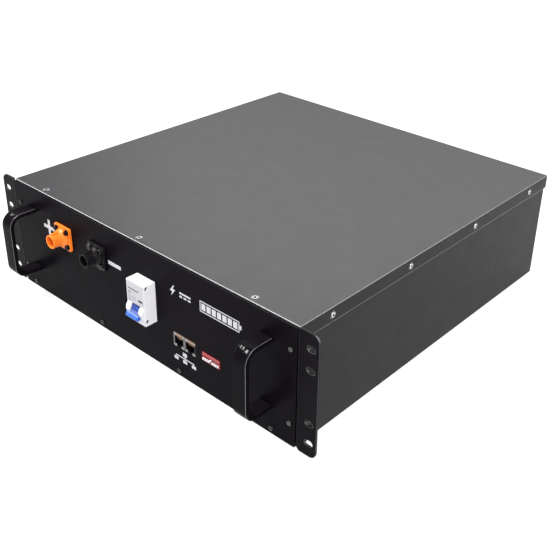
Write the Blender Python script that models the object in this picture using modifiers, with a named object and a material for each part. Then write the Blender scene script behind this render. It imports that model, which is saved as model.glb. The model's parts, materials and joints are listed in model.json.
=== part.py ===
"""Rack battery module, 19 inch and 3 units high, as an assembly of separate pieces.

Lengths are in metres. X runs to the right across the front panel, Y runs back from the panel's
front face and Z runs up from the underside. Everything hangs on one empty, which moves the whole
module so that its bounding box is centred over the world origin.
"""
import math

import bmesh
import bpy
from mathutils import Matrix, Vector

GAP = 0.0003                    # clearance between pieces that touch
SCREW_SIDES = 8
TAPPED_RADIUS = 0.0018          # holes that the cover and panel screws go into

# Chassis
BODY_WIDTH = 0.4360             # over the cover's side flanges
BODY_HEIGHT = 0.1320
BODY_DEPTH = 0.4450
SHEET = 0.0012
PANEL_THICKNESS = 0.0020
COVER_FLANGE = 0.0160
FRONT_FLANGE = 0.0170           # tray flanges that the panel is screwed to
PANEL_RETURN = 0.0160           # panel's top flange, under the cover

# 19 inch rack interface
EAR_OUTER_WIDTH = 0.4826
EAR_HEIGHT = 0.1325
EAR_THICKNESS = 0.0020
EAR_RETURN = 0.0200
EAR_CORNER = 0.0080
SLOT_SPACING_X = 0.4651
SLOT_SPACINGS_Z = (0.1016, 0.05715)
SLOT_LENGTH = 0.0100
SLOT_HEIGHT = 0.0065
SLOT_MID_Z = 0.0660

# The handles, the cover screws and the panel's bottom screws are set out left of the middle.
FITTING_SHIFT = -0.0045

HANDLE_OFFSET = 0.1835
HANDLE_BOTTOM, HANDLE_TOP = 0.0278, 0.1070
HANDLE_REACH = 0.0335
HANDLE_WIDTH = 0.0163
HANDLE_THICKNESS = 0.0050
HANDLE_BEND = 0.0150

COVER_SIDE_SCREW_FIRST = 0.0450
COVER_SIDE_SCREW_PITCH = 0.1190
COVER_FRONT_SCREW_PITCH = 0.1620
COVER_FRONT_SCREW_Y = 0.0090
PANEL_SIDE_SCREW_X = 0.2095
PANEL_SIDE_SCREW_ZS = (0.0250, 0.1060)
PANEL_BOTTOM_SCREW_PITCH = 0.1277
PANEL_BOTTOM_SCREW_Z = 0.0065

# Power sockets
SOCKET_XS = {"positive": -0.1250, "negative": -0.0647}
SOCKET_Z = 0.0920
SOCKET_FLANGE = 0.0275
SOCKET_FLANGE_THICKNESS = 0.0030
SOCKET_CORNER = 0.0018
SOCKET_TAIL_RADIUS = 0.0100      # goes through the panel
SOCKET_REACH = 0.0190
SOCKET_RADIUS = 0.0078
SOCKET_BOSS_RADIUS = 0.0108
SOCKET_BORE_RADIUS = 0.0062
SOCKET_REAR = 0.0200
CONTACT_HOLE_RADIUS = 0.0043
CONTACT_REAR = 0.0340

# Circuit breaker
BREAKER_X = 0.0139
BREAKER_WIDTH = 0.0270
BREAKER_NOSE_Z = (0.0509, 0.0970)
BREAKER_BODY_Z = (0.0347, 0.1127)
BREAKER_REACH = 0.0143
BREAKER_SHOULDER_Y = 0.0120
BREAKER_BACK_Y = 0.0580
TOGGLE_AXIS_Y = -0.0090
TOGGLE_AXIS_Z = 0.0645
TOGGLE_HUB_RADIUS = 0.0070
TOGGLE_HUB_WIDTH = 0.0126
TOGGLE_BAR_WIDTH = 0.0180
TOGGLE_REST_ANGLE = math.radians(25)    # below the horizontal
CHEEK_RADIUS = 0.0086

# Communication ports
JACK_XS = (0.06045, 0.07665)
JACK_Z = 0.0429
JACK_WIDTH = 0.0158
JACK_HEIGHT = 0.0162
JACK_FRONT_Y = 0.0004
BOARD_Y = 0.0163
SWITCH_X = 0.1072
SWITCH_Z = 0.0426
SWITCH_WIDTH = 0.0246
SWITCH_HEIGHT = 0.0096
SWITCH_FRONT_Y = -0.0006
SLIDER_COUNT = 9
SLIDER_MID_Z = SWITCH_Z - 0.0013
SLIDER_HEIGHT = 0.0020
SLIDER_PITCH = 0.00254
SLIDER_TRAVEL = 0.0018
SLIDER_UP = 4                   # index of the slider that stands up

# Cells
CELL_WIDTH = 0.1485
CELL_THICKNESS = 0.0397
CELL_HEIGHT = 0.0960
STACK_MID_X = 0.0868
STACK_BACK_Y = 0.4360
CELLS_PER_STACK = {"left": 8, "right": 7}
CELL_FLOOR_Z = 0.0020

LEAD_RADIUS = 0.0045

TRAY_HALF = BODY_WIDTH / 2 - SHEET - GAP
TRAY_TOP = BODY_HEIGHT - SHEET - GAP
TRAY_FRONT_Y = PANEL_THICKNESS + GAP
TRAY_BACK_Y = BODY_DEPTH - SHEET - GAP
ORIGIN_Y = -(BODY_DEPTH - HANDLE_REACH) / 2

for old in list(bpy.data.objects):
    bpy.data.objects.remove(old, do_unlink=True)

PARTS = bpy.data.collections.new("rack_battery_module")
CUTTERS = bpy.data.collections.new("cutters")
bpy.context.scene.collection.children.link(PARTS)
bpy.context.scene.collection.children.link(CUTTERS)

MODULE = bpy.data.objects.new("module_origin", None)
MODULE.location = (0, ORIGIN_Y, 0)
PARTS.objects.link(MODULE)


def material(name, colour, roughness, metallic=0.0):
    """A Principled material."""
    made = bpy.data.materials.new(name)
    made.use_nodes = True
    shader = made.node_tree.nodes["Principled BSDF"]
    shader.inputs["Base Color"].default_value = (*colour, 1)
    shader.inputs["Roughness"].default_value = roughness
    shader.inputs["Metallic"].default_value = metallic
    return made


BLACK_PAINT = ("black_paint", (0.013, 0.012, 0.014), 0.55, 0.0)
COVER_PAINT = ("cover_paint", (0.050, 0.050, 0.053), 0.45, 0.2)
GLOSS_BLACK = ("gloss_black", (0.010, 0.010, 0.011), 0.20, 0.0)
ZINC = ("zinc", (0.60, 0.60, 0.58), 0.35, 1.0)
BLACK_STEEL = ("black_steel", (0.020, 0.020, 0.022), 0.35, 0.6)
ORANGE = ("orange_plastic", (0.95, 0.25, 0.03), 0.40, 0.0)
BLACK_PLASTIC = ("black_plastic", (0.012, 0.012, 0.013), 0.45, 0.0)
SILVER = ("silver_plate", (0.80, 0.79, 0.76), 0.25, 1.0)
WHITE = ("white_plastic", (0.85, 0.84, 0.86), 0.40, 0.0)
BLUE = ("blue_plastic", (0.05, 0.20, 0.80), 0.35, 0.0)
BEIGE = ("beige_plastic", (0.55, 0.45, 0.36), 0.45, 0.0)
RED = ("red_plastic", (0.62, 0.03, 0.05), 0.40, 0.0)
GREEN_BOARD = ("green_board", (0.02, 0.16, 0.06), 0.50, 0.0)
CELL_BLUE = ("cell_film", (0.03, 0.12, 0.38), 0.40, 0.0)
COPPER = ("copper", (0.80, 0.38, 0.22), 0.30, 1.0)
GALVANISED = ("galvanised", (0.45, 0.46, 0.47), 0.45, 1.0)


def add_object(name, mesh, look=None):
    """Link a mesh as a part, or as a cutter when it has no look."""
    made = bpy.data.objects.new(name, mesh)
    if look is None:
        CUTTERS.objects.link(made)
        made.hide_render = True
        made.display_type = "WIRE"
    else:
        PARTS.objects.link(made)
        mesh.materials.clear()
        mesh.materials.append(material(name + "_" + look[0], *look[1:]))
    made.parent = MODULE
    return made


def mesh_from(name, fill):
    """A mesh that the function fill builds in an empty bmesh."""
    mesh = bpy.data.meshes.new(name)
    work = bmesh.new()
    fill(work)
    bmesh.ops.recalc_face_normals(work, faces=work.faces)
    work.to_mesh(mesh)
    work.free()
    return mesh


def add_box(work, low, high):
    """A box between two opposite corners."""
    low, high = Vector(low), Vector(high)
    size = high - low
    place = Matrix.Translation((low + high) / 2) @ Matrix.Diagonal((*size, 1))
    bmesh.ops.create_cube(work, size=1, matrix=place)


def box(name, low, high, look=None):
    return add_object(name, mesh_from(name, lambda work: add_box(work, low, high)), look)


def boxes(name, corner_pairs, look=None):
    """Several boxes that don't touch, in one mesh."""
    def fill(work):
        for low, high in corner_pairs:
            add_box(work, low, high)
    return add_object(name, mesh_from(name, fill), look)


AXIS_TURNS = {
    "+X": Matrix.Rotation(math.pi / 2, 4, "Y"),
    "-X": Matrix.Rotation(-math.pi / 2, 4, "Y"),
    "-Y": Matrix.Rotation(math.pi / 2, 4, "X"),
    "+Y": Matrix.Rotation(-math.pi / 2, 4, "X"),
    "+Z": Matrix.Identity(4),
}


def cones(name, places, axis, radii, span, look=None, steps=16):
    """Cylinders or cones along an axis: one at each place, over span, from radii[0] to radii[1]."""
    start, end = span

    def fill(work):
        for place in places:
            middle = Matrix.Translation((0, 0, (start + end) / 2))
            matrix = Matrix.Translation(place) @ AXIS_TURNS[axis] @ middle
            bmesh.ops.create_cone(work, cap_ends=True, segments=steps, radius1=radii[0],
                                  radius2=radii[1], depth=end - start, matrix=matrix)
    return add_object(name, mesh_from(name, fill), look)


def evaluated_copy(source):
    """The evaluated mesh of an object, welded and with its faces pointing out."""
    bpy.context.view_layer.update()
    evaluated = source.evaluated_get(bpy.context.evaluated_depsgraph_get())
    mesh = bpy.data.meshes.new_from_object(evaluated)
    work = bmesh.new()
    work.from_mesh(mesh)
    bmesh.ops.remove_doubles(work, verts=work.verts, dist=0.00001)
    bmesh.ops.recalc_face_normals(work, faces=work.faces)
    work.to_mesh(mesh)
    work.free()
    return mesh


# Where a flat outline's own two axes and its thickness point, for each axis it is extruded along.
OUTLINE_TURNS = {
    "X": Matrix(((0, 0, 1, 0), (1, 0, 0, 0), (0, 1, 0, 0), (0, 0, 0, 1))),
    "Y": Matrix(((1, 0, 0, 0), (0, 0, -1, 0), (0, 1, 0, 0), (0, 0, 0, 1))),
    "Z": Matrix.Identity(4),
}


def prism(name, outline, axis, start, end, look=None):
    """A flat outline extruded along an axis from start to end.

    The outline's pairs are (Y, Z) for axis X, (X, Z) for axis Y and (X, Y) for axis Z.
    """
    curve = bpy.data.curves.new(name, "CURVE")
    curve.dimensions = "2D"
    curve.fill_mode = "BOTH"
    curve.extrude = (end - start) / 2
    spline = curve.splines.new("POLY")
    spline.points.add(len(outline) - 1)
    for point, (across, up) in zip(spline.points, outline):
        point.co = (across, up, 0, 1)
    spline.use_cyclic_u = True
    flat = bpy.data.objects.new(name + "_outline", curve)
    PARTS.objects.link(flat)
    mesh = evaluated_copy(flat)
    bpy.data.objects.remove(flat)
    shift = Vector([(start + end) / 2 if letter == axis else 0 for letter in "XYZ"])
    mesh.transform(Matrix.Translation(shift) @ OUTLINE_TURNS[axis])
    return add_object(name, mesh, look)


def turned(name, profile, place, axis, look=None, steps=16):
    """A (radius, height) profile turned about an axis through place."""
    mesh = bpy.data.meshes.new(name + "_profile")
    edges = [(index, index + 1) for index in range(len(profile) - 1)]
    mesh.from_pydata([(radius, 0, height) for radius, height in profile], edges, [])
    lathe = bpy.data.objects.new(name + "_profile", mesh)
    PARTS.objects.link(lathe)
    screw = lathe.modifiers.new("turn", "SCREW")
    screw.steps = screw.render_steps = steps
    screw.use_merge_vertices = True
    screw.merge_threshold = 0.00001
    solid = evaluated_copy(lathe)
    bpy.data.objects.remove(lathe)
    solid.transform(AXIS_TURNS[axis])
    made = add_object(name, solid, look)
    made.location = place
    return made


def arc(centre, radius, from_degrees, to_degrees, steps=5):
    """Points along an arc, both ends included."""
    points = []
    for index in range(steps + 1):
        angle = math.radians(from_degrees + (to_degrees - from_degrees) * index / steps)
        points.append((centre[0] + radius * math.cos(angle), centre[1] + radius * math.sin(angle)))
    return points


def rounded_rectangle(centre, width, height, radius, steps=3):
    x, y = width / 2 - radius, height / 2 - radius
    outline = []
    for corner, start in (((x, y), 0), ((-x, y), 90), ((-x, -y), 180), ((x, -y), 270)):
        middle = (centre[0] + corner[0], centre[1] + corner[1])
        outline += arc(middle, radius, start, start + 90, steps)
    return outline


def combine(target, other, operation="DIFFERENCE"):
    """Cut the other object from the target, or join it on; the other one becomes a guide."""
    modifier = target.modifiers.new(operation.lower(), "BOOLEAN")
    modifier.operation = operation
    modifier.solver = "EXACT"
    modifier.object = other
    return target


def round_edges(target, width, segments, angle=40):
    bevel = target.modifiers.new("rounding", "BEVEL")
    bevel.width = width
    bevel.segments = segments
    bevel.limit_method = "ANGLE"
    bevel.angle_limit = math.radians(angle)


# Places where screws go


def cover_side_screw_ys():
    return [COVER_SIDE_SCREW_FIRST + index * COVER_SIDE_SCREW_PITCH for index in range(4)]


def cover_front_screw_xs():
    return [FITTING_SHIFT + (index - 1) * COVER_FRONT_SCREW_PITCH for index in range(3)]


def panel_screw_places():
    """Names and centres, on the panel's front face, of the panel's eight screws."""
    places = {}
    for side, sign in (("left", -1), ("right", 1)):
        for level, z in zip(("lower", "upper"), PANEL_SIDE_SCREW_ZS):
            places[f"panel_screw_{side}_{level}"] = (sign * PANEL_SIDE_SCREW_X, 0, z)
    for index in range(4):
        x = FITTING_SHIFT + (index - 1.5) * PANEL_BOTTOM_SCREW_PITCH
        places[f"panel_screw_bottom_{index + 1}"] = (x, 0, PANEL_BOTTOM_SCREW_Z)
    return places


def handle_mids():
    return {"left": FITTING_SHIFT - HANDLE_OFFSET, "right": FITTING_SHIFT + HANDLE_OFFSET}


def handle_screw_zs():
    return {"lower": HANDLE_BOTTOM + HANDLE_THICKNESS / 2, "upper": HANDLE_TOP - HANDLE_THICKNESS / 2}


# Chassis


def build_tray():
    tray = box("chassis_tray", (-TRAY_HALF, TRAY_FRONT_Y, 0), (TRAY_HALF, TRAY_BACK_Y, TRAY_TOP),
               BLACK_PAINT)
    inner = TRAY_HALF - SHEET
    combine(tray, box("tray_cavity", (-inner, TRAY_FRONT_Y + SHEET, SHEET),
                      (inner, TRAY_BACK_Y - SHEET, TRAY_TOP + 0.01)))
    window = TRAY_HALF - FRONT_FLANGE
    combine(tray, box("tray_window", (-window, TRAY_FRONT_Y - 0.01, 0.0130),
                      (window, TRAY_FRONT_Y + SHEET + 0.002, TRAY_TOP + 0.02)))
    side_screws = [(0, y, BODY_HEIGHT - COVER_FLANGE / 2) for y in cover_side_screw_ys()]
    combine(tray, cones("tray_side_holes", side_screws, "+X", (TAPPED_RADIUS, TAPPED_RADIUS), (-0.25, 0.25),
                        steps=8))
    front = list(panel_screw_places().values())
    combine(tray, cones("tray_front_holes", front, "+Y", (TAPPED_RADIUS, TAPPED_RADIUS), (-0.002, 0.0045),
                        steps=8))


def build_cover():
    half = BODY_WIDTH / 2
    low = BODY_HEIGHT - COVER_FLANGE
    cover = box("top_cover", (-half, TRAY_FRONT_Y, low), (half, BODY_DEPTH, BODY_HEIGHT), COVER_PAINT)
    combine(cover, box("cover_inside", (SHEET - half, -0.01, low - 0.01),
                       (half - SHEET, BODY_DEPTH - SHEET, BODY_HEIGHT - SHEET)))
    for sign, axis in ((-1, "-X"), (1, "+X")):
        holes = [(sign * half, y, BODY_HEIGHT - COVER_FLANGE / 2) for y in cover_side_screw_ys()]
        combine(cover, cones("cover_side_holes" + axis, holes, axis, (0.0020, 0.0042),
                             (-0.0016, 0.0004), steps=12))
    holes = [(x, COVER_FRONT_SCREW_Y, BODY_HEIGHT) for x in cover_front_screw_xs()]
    combine(cover, cones("cover_front_holes", holes, "+Z", (0.0020, 0.0042), (-0.0016, 0.0004),
                         steps=12))


def build_panel():
    chamfer = 0.0015
    half, top = TRAY_HALF, TRAY_TOP
    outline = [(chamfer - half, 0), (half - chamfer, 0), (half, chamfer), (half, top),
               (-half, top), (-half, chamfer)]
    panel = prism("front_panel", outline, "Y", 0, PANEL_THICKNESS, BLACK_PAINT)
    reach = half - FRONT_FLANGE - 0.002
    combine(panel, box("panel_return", (-reach, PANEL_THICKNESS / 2, top - 0.0015),
                       (reach, PANEL_THICKNESS + PANEL_RETURN, top)), "UNION")
    tapped = [(x, COVER_FRONT_SCREW_Y, top) for x in cover_front_screw_xs()]
    combine(panel, cones("panel_return_holes", tapped, "+Z", (TAPPED_RADIUS, TAPPED_RADIUS), (-0.003, 0.002),
                         steps=8))
    combine(panel, cones("panel_screw_holes", list(panel_screw_places().values()), "+Y",
                         (TAPPED_RADIUS, TAPPED_RADIUS), (-0.001, 0.004), steps=8))
    feet = [(x, 0, z) for x in handle_mids().values() for z in handle_screw_zs().values()]
    combine(panel, cones("panel_handle_holes", feet, "+Y", (0.0017, 0.0017), (-0.001, 0.004),
                         steps=8))
    sockets = [(x, 0, SOCKET_Z) for x in SOCKET_XS.values()]
    socket_hole = SOCKET_TAIL_RADIUS + GAP
    combine(panel, cones("panel_socket_holes", sockets, "+Y", (socket_hole, socket_hole),
                         (-0.001, 0.004), steps=24))
    slack = 0.0005
    nose = BREAKER_WIDTH / 2 + slack
    ports = JACK_WIDTH / 2 + slack
    switch = (SWITCH_WIDTH / 2 + GAP, SWITCH_HEIGHT / 2 + GAP)
    combine(panel, boxes("panel_windows", [
        ((BREAKER_X - nose, -0.001, BREAKER_NOSE_Z[0] - slack),
         (BREAKER_X + nose, 0.004, BREAKER_NOSE_Z[1] + slack)),
        ((JACK_XS[0] - ports, -0.001, JACK_Z - JACK_HEIGHT / 2 - slack),
         (JACK_XS[1] + ports, 0.004, JACK_Z + JACK_HEIGHT / 2 + slack)),
        ((SWITCH_X - switch[0], -0.001, SWITCH_Z - switch[1]),
         (SWITCH_X + switch[0], 0.004, SWITCH_Z + switch[1])),
    ]))


def build_ear(side, sign):
    """An L bracket: the slotted plate faces forward, the return runs back along the tray's side."""
    inner = BODY_WIDTH / 2 + GAP
    outer = EAR_OUTER_WIDTH / 2
    notch = 0.0030
    outline = [(inner, notch), (inner + notch, 0)]
    outline += arc((outer - EAR_CORNER, EAR_CORNER), EAR_CORNER, -90, 0)
    outline += arc((outer - EAR_CORNER, EAR_HEIGHT - EAR_CORNER), EAR_CORNER, 0, 90)
    outline.append((inner, EAR_HEIGHT))
    ear = prism(f"rack_ear_{side}", [(sign * x, z) for x, z in outline], "Y", 0, EAR_THICKNESS,
                BLACK_PAINT)
    top = BODY_HEIGHT - COVER_FLANGE - GAP
    rest = TRAY_HALF + GAP
    behind = PANEL_THICKNESS + GAP
    joint = inner + 0.0002
    outline = [(joint, EAR_THICKNESS / 2), (inner + EAR_THICKNESS, EAR_THICKNESS / 2),
               (inner + EAR_THICKNESS, EAR_RETURN), (rest, EAR_RETURN), (rest, behind), (joint, behind)]
    combine(ear, prism(f"ear_return_{side}", [(sign * x, y) for x, y in outline], "Z", notch, top),
            "UNION")
    for index, spacing in enumerate(SLOT_SPACINGS_Z):
        for level in (-1, 1):
            middle = (sign * SLOT_SPACING_X / 2, SLOT_MID_Z + level * spacing / 2)
            slot = rounded_rectangle(middle, SLOT_LENGTH, SLOT_HEIGHT, SLOT_HEIGHT / 2 - 0.0001)
            name = f"ear_slot_{side}_{index}_{level + 1}"
            combine(ear, prism(name, slot, "Y", -0.002, EAR_THICKNESS + 0.002))


def build_handle(side, middle):
    """A flat bow: feet on the panel, rounded bends and soft edges."""
    reach, bend, thick = HANDLE_REACH, HANDLE_BEND, HANDLE_THICKNESS
    low, high = HANDLE_BOTTOM, HANDLE_TOP
    bend_low, bend_high = (bend - reach, low + bend), (bend - reach, high - bend)
    outline = [(-GAP, low)] + arc(bend_low, bend, 270, 180) + arc(bend_high, bend, 180, 90)
    outline += [(-GAP, high), (-GAP, high - thick)]
    outline += arc(bend_high, bend - thick, 90, 180) + arc(bend_low, bend - thick, 180, 270)
    outline.append((-GAP, low + thick))
    start, end = middle - HANDLE_WIDTH / 2, middle + HANDLE_WIDTH / 2
    handle = prism(f"handle_{side}", outline, "X", start, end, GLOSS_BLACK)
    round_edges(handle, 0.0016, 2)
    feet = [(middle, 0, z) for z in handle_screw_zs().values()]
    combine(handle, cones(f"handle_holes_{side}", feet, "-Y", (0.0015, 0.0015), (-0.001, 0.0085),
                          steps=8))


# Screws


def countersunk_screw(name, place, axis):
    """Head flush with the sheet, with a recess; the shank points the other way."""
    profile = [(0, -0.0007), (0.0011, -0.0006), (0.0013, 0), (0.0031, 0), (0.0031, -0.00015),
               (0.0015, -0.0013), (0.0013, -0.0060), (0, -0.0060)]
    turned(name, profile, place, axis, ZINC, steps=SCREW_SIDES)


def pan_screw(name, place, axis, look, length):
    """Raised head with a recess, standing on the face by the gap."""
    profile = [(0, 0.0012), (0.0011, 0.0012), (0.0012, 0.0020), (0.0022, 0.0018), (0.0031, GAP),
               (0.0014, GAP), (0.0013, -length), (0, -length)]
    turned(name, profile, place, axis, look, steps=SCREW_SIDES)


def build_screws():
    half = BODY_WIDTH / 2
    for side, sign, axis in (("left", -1, "-X"), ("right", 1, "+X")):
        for index, y in enumerate(cover_side_screw_ys()):
            place = (sign * half, y, BODY_HEIGHT - COVER_FLANGE / 2)
            countersunk_screw(f"cover_screw_{side}_{index + 1}", place, axis)
    for index, x in enumerate(cover_front_screw_xs()):
        place = (x, COVER_FRONT_SCREW_Y, BODY_HEIGHT)
        countersunk_screw(f"cover_screw_front_{index + 1}", place, "+Z")
    for name, place in panel_screw_places().items():
        pan_screw(name, place, "-Y", BLACK_STEEL, 0.0060)
    for side, x in handle_mids().items():
        for level, z in handle_screw_zs().items():
            name = f"handle_screw_{side}_{level}"
            pan_screw(name, (x, PANEL_THICKNESS, z), "+Y", ZINC, 0.0095)


# Power sockets


def build_socket(sign_name, x, look):
    """Square flange with a hollow barrel in front and a clamped tail behind the panel."""
    place = (x, 0, SOCKET_Z)
    flange = rounded_rectangle((x, SOCKET_Z), SOCKET_FLANGE, SOCKET_FLANGE, SOCKET_CORNER)
    socket = prism(f"{sign_name}_socket", flange, "Y", -GAP - SOCKET_FLANGE_THICKNESS, -GAP, look)
    reach, wall = SOCKET_REACH, SOCKET_RADIUS
    tail, hole = SOCKET_TAIL_RADIUS, CONTACT_HOLE_RADIUS
    barrel = [(SOCKET_BORE_RADIUS, reach), (wall - 0.0005, reach), (wall, reach - 0.0005),
              (wall, 0.0085), (SOCKET_BOSS_RADIUS, 0.0045), (SOCKET_BOSS_RADIUS, 0.0010),
              (tail, 0.0010), (tail, -SOCKET_REAR), (hole, -SOCKET_REAR), (hole, 0.0060),
              (SOCKET_BORE_RADIUS, 0.0060), (SOCKET_BORE_RADIUS, reach)]
    bore = [(0, reach - 0.0001), (SOCKET_BORE_RADIUS, reach - 0.0001), (SOCKET_BORE_RADIUS, 0.0060),
            (hole, 0.0060), (hole, -SOCKET_REAR + 0.001), (0, -SOCKET_REAR + 0.001)]
    combine(socket, turned(f"{sign_name}_bore", bore, place, "-Y", steps=24))
    combine(socket, turned(f"{sign_name}_barrel", barrel, place, "-Y", steps=24), "UNION")
    contact = [(0, 0.0090), (0.0030, 0.0090), (0.0035, 0.0085), (0.0040, 0.0050), (0.0040, -0.0260),
               (0.0060, -0.0260), (0.0060, -CONTACT_REAR), (0, -CONTACT_REAR)]
    turned(f"{sign_name}_contact", contact, place, "-Y", SILVER, steps=16)


# Circuit breaker


def build_breaker():
    """Case with a nose through the panel, round cheeks beside the toggle, and a rail notch."""
    low, high = BREAKER_BODY_Z
    nose_low, nose_high = BREAKER_NOSE_Z
    front, back = -BREAKER_REACH, BREAKER_BACK_Y
    outline = [(front, nose_low), (BREAKER_SHOULDER_Y, nose_low), (BREAKER_SHOULDER_Y, low),
               (back, low), (back, high), (BREAKER_SHOULDER_Y, high),
               (BREAKER_SHOULDER_Y, nose_high), (front, nose_high)]
    half = BREAKER_WIDTH / 2
    case = prism("breaker_case", outline, "X", BREAKER_X - half, BREAKER_X + half, WHITE)
    axis_place = (BREAKER_X, TOGGLE_AXIS_Y, TOGGLE_AXIS_Z)
    cheek = half - 0.0008
    combine(case, cones("breaker_cheeks", [axis_place], "+X", (CHEEK_RADIUS, CHEEK_RADIUS),
                        (-cheek, cheek), steps=32), "UNION")
    slot = TOGGLE_HUB_WIDTH / 2 + GAP
    room = TOGGLE_HUB_RADIUS + 0.0004
    combine(case, cones("toggle_room", [axis_place], "+X", (room, room), (-slot, slot), steps=32))
    combine(case, box("toggle_mouth", (BREAKER_X - slot, -0.0300, TOGGLE_AXIS_Z - room),
                      (BREAKER_X + slot, TOGGLE_AXIS_Y, TOGGLE_AXIS_Z + room)))
    terminals = [(BREAKER_X, 0.0360, z) for z in BREAKER_BODY_Z]
    combine(case, cones("breaker_terminals", terminals, "+Z", (0.0056, 0.0056), (-0.006, 0.006),
                        steps=12))


def build_toggle():
    """Hub, stem and cross bar as one piece; its origin is on the hub's axis."""
    hub = TOGGLE_HUB_WIDTH / 2
    toggle = cones("breaker_toggle", [(0, 0, 0)], "+X", (TOGGLE_HUB_RADIUS, TOGGLE_HUB_RADIUS),
                   (-hub, hub), BLUE, steps=32)
    # The stem's and the bar's outlines point forward and are then turned down to the rest angle.
    turn = Matrix.Rotation(TOGGLE_REST_ANGLE, 4, "X")
    stem = [(-0.0040, -0.0034), (-0.0040, 0.0038), (-0.0100, 0.0030), (-0.0100, -0.0026)]
    wing = [(-0.0092, -0.0027), (-0.0092, 0.0032), (-0.0110, 0.0030), (-0.0136, 0.0009),
            (-0.0136, -0.0004), (-0.0128, -0.0016)]
    for name, outline, width in (("toggle_stem", stem, TOGGLE_HUB_WIDTH - 0.0002),
                                 ("toggle_bar", wing, TOGGLE_BAR_WIDTH)):
        arm = prism(name, outline, "X", -width / 2, width / 2)
        arm.data.transform(turn)
        arm.parent = toggle
        combine(toggle, arm, "UNION")
    toggle.location = (BREAKER_X, TOGGLE_AXIS_Y, TOGGLE_AXIS_Z)


def build_breaker_bracket():
    """Upright plate with the breaker's rail on its front, on a foot."""
    back = BREAKER_BACK_Y + GAP
    mid = (BREAKER_BODY_Z[0] + BREAKER_BODY_Z[1]) / 2
    floor = SHEET + GAP
    outline = [(back, mid - 0.0175), (back + 0.0010, mid - 0.0175), (back + 0.0010, mid - 0.0125),
               (back + 0.0060, mid - 0.0125), (back + 0.0060, floor), (back + 0.0240, floor),
               (back + 0.0240, floor + 0.0020), (back + 0.0080, floor + 0.0020),
               (back + 0.0080, mid + 0.0145), (back + 0.0060, mid + 0.0145),
               (back + 0.0060, mid + 0.0125), (back + 0.0010, mid + 0.0125),
               (back + 0.0010, mid + 0.0175), (back, mid + 0.0175)]
    prism("breaker_bracket", outline, "X", BREAKER_X - 0.0250, BREAKER_X + 0.0250, GALVANISED)


# Communication ports


def build_jack(index, x):
    """Housing with the plug's cavity and the latch's slot below it."""
    half, low, high = JACK_WIDTH / 2, JACK_Z - JACK_HEIGHT / 2, JACK_Z + JACK_HEIGHT / 2
    jack = box(f"network_jack_{index}", (x - half, JACK_FRONT_Y, low), (x + half, BOARD_Y - GAP, high),
               BEIGE)
    cavity, latch = 0.0119 / 2, 0.0061 / 2
    floor, sill, roof = low + 0.0008, low + 0.0032, low + 0.0112
    inner = JACK_FRONT_Y + 0.0130
    combine(jack, box(f"jack_cavity_{index}", (x - cavity, -0.01, sill), (x + cavity, inner, roof)))
    combine(jack, box(f"jack_latch_{index}", (x - latch, -0.01, floor),
                      (x + latch, inner - 0.0030, sill + 0.0010)))


def slider_x(index):
    return SWITCH_X + (index - (SLIDER_COUNT - 1) / 2) * SLIDER_PITCH


def build_switch():
    half, tall = SWITCH_WIDTH / 2, SWITCH_HEIGHT / 2
    switch = box("dip_switch_body", (SWITCH_X - half, SWITCH_FRONT_Y, SWITCH_Z - tall),
                 (SWITCH_X + half, BOARD_Y - GAP, SWITCH_Z + tall), RED)
    wide, high = 0.0013 / 2, SLIDER_HEIGHT / 2
    slack = GAP + 0.00005
    travel = SLIDER_TRAVEL / 2
    slots = []
    for index in range(SLIDER_COUNT):
        x = slider_x(index)
        slots.append(((x - wide - slack, SWITCH_FRONT_Y - 0.001, SLIDER_MID_Z - travel - high - slack),
                      (x + wide + slack, SWITCH_FRONT_Y + 0.0024, SLIDER_MID_Z + travel + high + slack)))
    combine(switch, boxes("dip_slots", slots))
    for index in range(SLIDER_COUNT):
        level = travel if index == SLIDER_UP else -travel
        slider = box(f"dip_slider_{index + 1}", (-wide, -0.0012, -high), (wide, 0.0020, high), WHITE)
        slider.location = (slider_x(index), SWITCH_FRONT_Y, SLIDER_MID_Z + level)


def build_communication_board():
    box("communication_board", (JACK_XS[0] - 0.0120, BOARD_Y, 0.0270),
        (SWITCH_X + 0.0200, BOARD_Y + 0.0016, 0.0620), GREEN_BOARD)


# Cells and wiring


def stack_front_y(side):
    return STACK_BACK_Y - CELLS_PER_STACK[side] * CELL_THICKNESS


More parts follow.
